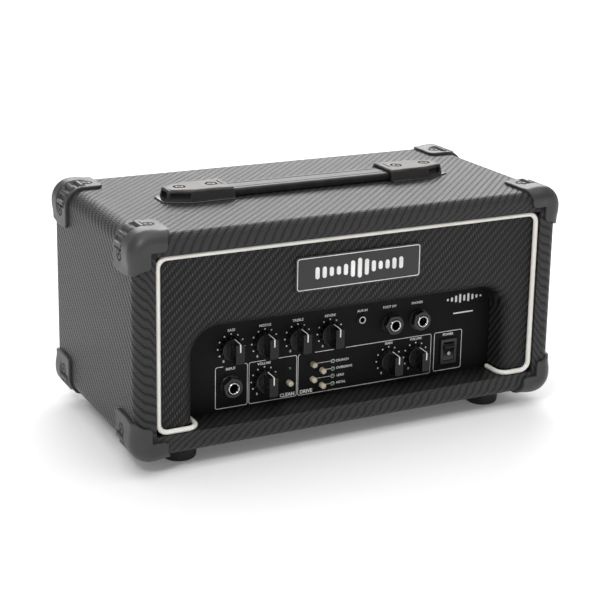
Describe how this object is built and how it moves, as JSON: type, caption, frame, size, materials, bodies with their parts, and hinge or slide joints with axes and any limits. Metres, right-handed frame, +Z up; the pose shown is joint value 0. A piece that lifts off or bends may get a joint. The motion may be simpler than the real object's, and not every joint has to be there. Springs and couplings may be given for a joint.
{
  "type": "guitar amplifier head",
  "caption": "Compact guitar amplifier head: vinyl-covered box with piping and corner guards, arched baffle over a control panel with knobs, sockets, buttons and a rocker, strap handle on top.",
  "frame": {"origin": "on the floor, under the centre of the cabinet", "axes": "+Z up, the control panel faces -Y, +X to the right seen from the front"},
  "size_m": [0.3658, 0.1864, 0.1918],
  "materials": {
    "plywood": "raw plywood",
    "carbon_weave_vinyl": "embossed twill, satin",
    "piping_white": "smooth satin",
    "back_board_black": "black painted",
    "panel_black": "matte powder coat with white print",
    "corner_plastic": "fine texture",
    "screw_bronze": "burnished",
    "steel_plain": "zinc plated",
    "foot_rubber": "matte",
    "strap_black": "satin",
    "handle_cap_plastic": "polished",
    "badge_black": "gloss",
    "emblem_white": "gloss",
    "board_green": "solder mask",
    "winding_tape": "tape",
    "heatsink_metal": "extruded",
    "component_black": "moulded",
    "capacitor_sleeve": "shrink sleeve",
    "jack_chrome": "polished",
    "fitting_black": "moulded",
    "led_green": "clear tinted",
    "rocker_black": "satin",
    "button_cream": "satin",
    "knob_black": "fine texture"
  },
  "bodies": {
    "cabinet": {"top_board": "plywood", "bottom_board": "plywood", "left_side_board": "plywood", "right_side_board": "plywood", "cabinet_covering": "carbon_weave_vinyl", "baffle_board": "carbon_weave_vinyl", "piping": "piping_white", "back_panel": "back_board_black", "vent_grille": "panel_black", "corner_protectors": "corner_plastic", "corner_screws": "screw_bronze", "rubber_feet": "foot_rubber", "foot_screws": "steel_plain", "handle_caps": "handle_cap_plastic", "handle_screws": "screw_bronze", "badge_plate": "badge_black", "badge_emblem": "emblem_white", "chassis": "steel_plain", "chassis_face": "steel_plain", "chassis_rear": "steel_plain", "front_panel": "panel_black", "main_circuit_board": "board_green", "control_circuit_board": "board_green", "transformer_core": "steel_plain", "transformer_winding": "winding_tape", "heatsink": "heatsink_metal", "amplifier_chips": "component_black", "capacitors": "capacitor_sleeve", "potentiometers": "steel_plain", "potentiometer_nuts": "steel_plain", "quarter_inch_jacks": "jack_chrome", "jack_nuts": "fitting_black", "aux_jack": "fitting_black", "speaker_jacks": "jack_chrome", "mains_inlet": "fitting_black", "button_switches": "component_black", "status_leds": "led_green", "rocker_housing": "rocker_black", "case_screws": "screw_bronze"},
    "strap": {"handle_strap": "strap_black"},
    "power_rocker": {"rocker_paddle": "rocker_black"},
    "button_clean_body": {"button_clean": "button_cream"},
    "button_crunch_body": {"button_crunch": "button_cream"},
    "button_overdrive_body": {"button_overdrive": "button_cream"},
    "button_lead_body": {"button_lead": "button_cream"},
    "button_metal_body": {"button_metal": "button_cream"},
    "bass_control": {"knob_bass": "knob_black", "shaft_bass": "steel_plain"},
    "middle_control": {"knob_middle": "knob_black", "shaft_middle": "steel_plain"},
    "treble_control": {"knob_treble": "knob_black", "shaft_treble": "steel_plain"},
    "reverb_control": {"knob_reverb": "knob_black", "shaft_reverb": "steel_plain"},
    "clean_volume_control": {"knob_clean_volume": "knob_black", "shaft_clean_volume": "steel_plain"},
    "gain_control": {"knob_gain": "knob_black", "shaft_gain": "steel_plain"},
    "drive_volume_control": {"knob_drive_volume": "knob_black", "shaft_drive_volume": "steel_plain"}
  },
  "joints": [
    {"name": "bass_turn", "type": "hinge", "parent": "cabinet", "child": "bass_control", "pos_m": [-0.0934, -0.064, 0.08], "axis": [0, 1, 0], "range_deg": [-150, 150]},
    {"name": "middle_turn", "type": "hinge", "parent": "cabinet", "child": "middle_control", "pos_m": [-0.0654, -0.064, 0.08], "axis": [0, 1, 0], "range_deg": [-150, 150]},
    {"name": "treble_turn", "type": "hinge", "parent": "cabinet", "child": "treble_control", "pos_m": [-0.0375, -0.064, 0.08], "axis": [0, 1, 0], "range_deg": [-150, 150]},
    {"name": "reverb_turn", "type": "hinge", "parent": "cabinet", "child": "reverb_control", "pos_m": [-0.0096, -0.064, 0.08], "axis": [0, 1, 0], "range_deg": [-150, 150]},
    {"name": "clean_volume_turn", "type": "hinge", "parent": "cabinet", "child": "clean_volume_control", "pos_m": [-0.0655, -0.064, 0.0496], "axis": [0, 1, 0], "range_deg": [-150, 150]},
    {"name": "gain_turn", "type": "hinge", "parent": "cabinet", "child": "gain_control", "pos_m": [0.0436, -0.064, 0.0496], "axis": [0, 1, 0], "range_deg": [-150, 150]},
    {"name": "drive_volume_turn", "type": "hinge", "parent": "cabinet", "child": "drive_volume_control", "pos_m": [0.0685, -0.064, 0.0496], "axis": [0, 1, 0], "range_deg": [-150, 150]},
    {"name": "press_clean", "type": "slide", "parent": "cabinet", "child": "button_clean_body", "axis": [0, 1, 0], "range_m": [0, 0.0015], "stiffness_N_per_m": 400, "springref_m": -0.0004},
    {"name": "press_crunch", "type": "slide", "parent": "cabinet", "child": "button_crunch_body", "axis": [0, 1, 0], "range_m": [0, 0.0015], "stiffness_N_per_m": 400, "springref_m": -0.0004},
    {"name": "press_overdrive", "type": "slide", "parent": "cabinet", "child": "button_overdrive_body", "axis": [0, 1, 0], "range_m": [0, 0.0015], "stiffness_N_per_m": 400, "springref_m": -0.0004},
    {"name": "press_lead", "type": "slide", "parent": "cabinet", "child": "button_lead_body", "axis": [0, 1, 0], "range_m": [0, 0.0015], "stiffness_N_per_m": 400, "springref_m": -0.0004},
    {"name": "press_metal", "type": "slide", "parent": "cabinet", "child": "button_metal_body", "axis": [0, 1, 0], "range_m": [0, 0.0015], "stiffness_N_per_m": 400, "springref_m": -0.0004},
    {"name": "rocker_tilt", "type": "hinge", "parent": "cabinet", "child": "power_rocker", "pos_m": [0.0988, -0.06, 0.0492], "axis": [-1, 0, 0], "range_deg": [0, 26]},
    {"name": "strap_lift", "type": "slide", "parent": "cabinet", "child": "strap", "axis": [0, 0, 1], "range_m": [0, 0.0007]}
  ]
}
